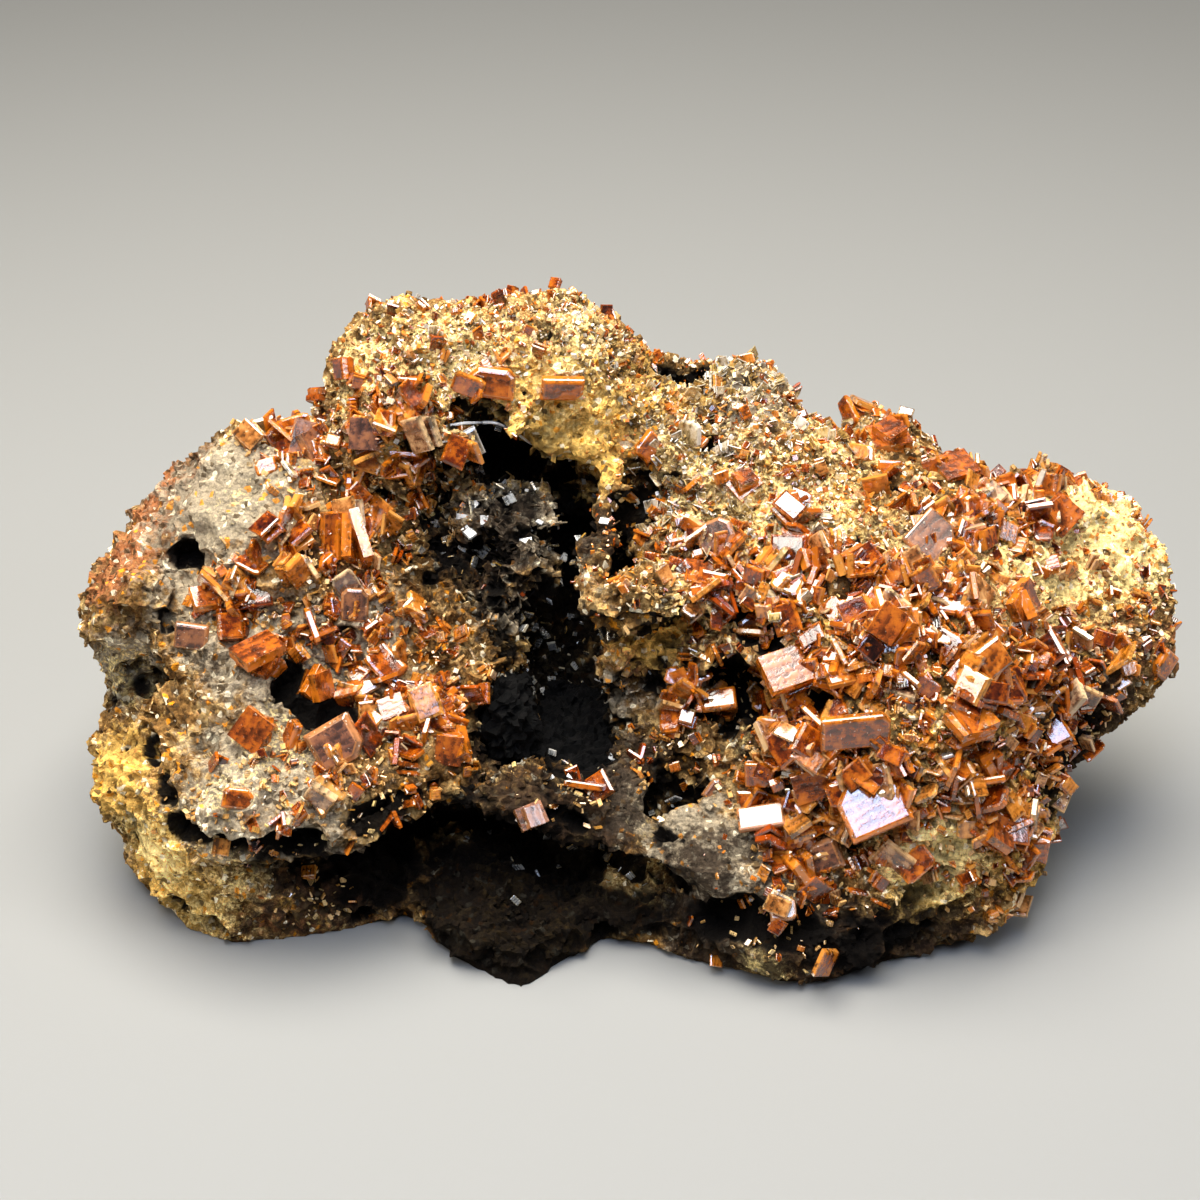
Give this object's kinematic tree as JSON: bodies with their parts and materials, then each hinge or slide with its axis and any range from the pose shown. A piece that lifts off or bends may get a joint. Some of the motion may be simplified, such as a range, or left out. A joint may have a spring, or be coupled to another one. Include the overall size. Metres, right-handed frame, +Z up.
{
  "type": "wulfenite on matrix mineral specimen",
  "caption": "Craggy block of vuggy iron-stained rock with a deep central hollow, overgrown with small square orange-brown tabular crystals; rests on its flat underside.",
  "frame": {"origin": "centre of the specimen's box on the surface it rests on", "axes": "+X along the long way of the rock, -Y towards the crystal-covered front, +Z up"},
  "size_m": [0.111, 0.0598, 0.0537],
  "materials": {
    "gossan": "rough granular iron-stained rock, ochre, rust and grey-brown",
    "druse": "grey drusy crust of tiny glassy crystals",
    "wulfenite": "resinous to adamantine orange-brown crystal, translucent, bright faces",
    "wulfenite_frosted": "mauve-brown crystal with frosted faces"
  },
  "bodies": {
    "root": {"matrix": "gossan", "vug_crust": "druse", "plate_largest": "wulfenite", "plate_barred": "wulfenite", "plate_shoulder": "wulfenite_frosted", "plate_frosted": "wulfenite_frosted", "block_foot": "wulfenite_frosted", "square_rust": "wulfenite", "square_dark": "wulfenite_frosted", "bar_right": "wulfenite", "tablet_ledge": "wulfenite_frosted", "plate_throat": "wulfenite", "plate_ridge_mauve": "wulfenite_frosted", "plate_ridge_orange": "wulfenite", "tablet_tip": "wulfenite", "plate_in_bowl": "wulfenite_frosted", "blade_in_bowl": "wulfenite", "square_mauve": "wulfenite_frosted", "glint_shoulder": "wulfenite", "plate_left_brown": "wulfenite_frosted", "plate_leaning": "wulfenite", "plate_lip_left": "wulfenite", "block_peak": "wulfenite", "block_peak_barred": "wulfenite", "fan_left_plate": "wulfenite", "cluster_left_orange": "wulfenite", "blades_over_bowl": "wulfenite", "wing_left": "wulfenite", "pair_left_plate": "wulfenite", "pair_bowl_rim": "wulfenite", "cluster_vug_edge": "wulfenite", "plates_shoulder_left": "wulfenite_frosted", "plates_neck": "wulfenite_frosted", "cluster_vug_rim": "wulfenite_frosted", "plates_over_brown_bowl": "wulfenite", "cluster_ridge_face": "wulfenite", "stack_back_horn": "wulfenite", "cluster_behind_shoulder": "wulfenite", "cluster_horn": "wulfenite", "cluster_under_horn": "wulfenite", "cluster_slope": "wulfenite", "cluster_pocket": "wulfenite", "cluster_right_face": "wulfenite", "cluster_beside_largest": "wulfenite", "cluster_right_edge": "wulfenite"}
  },
  "joints": []
}
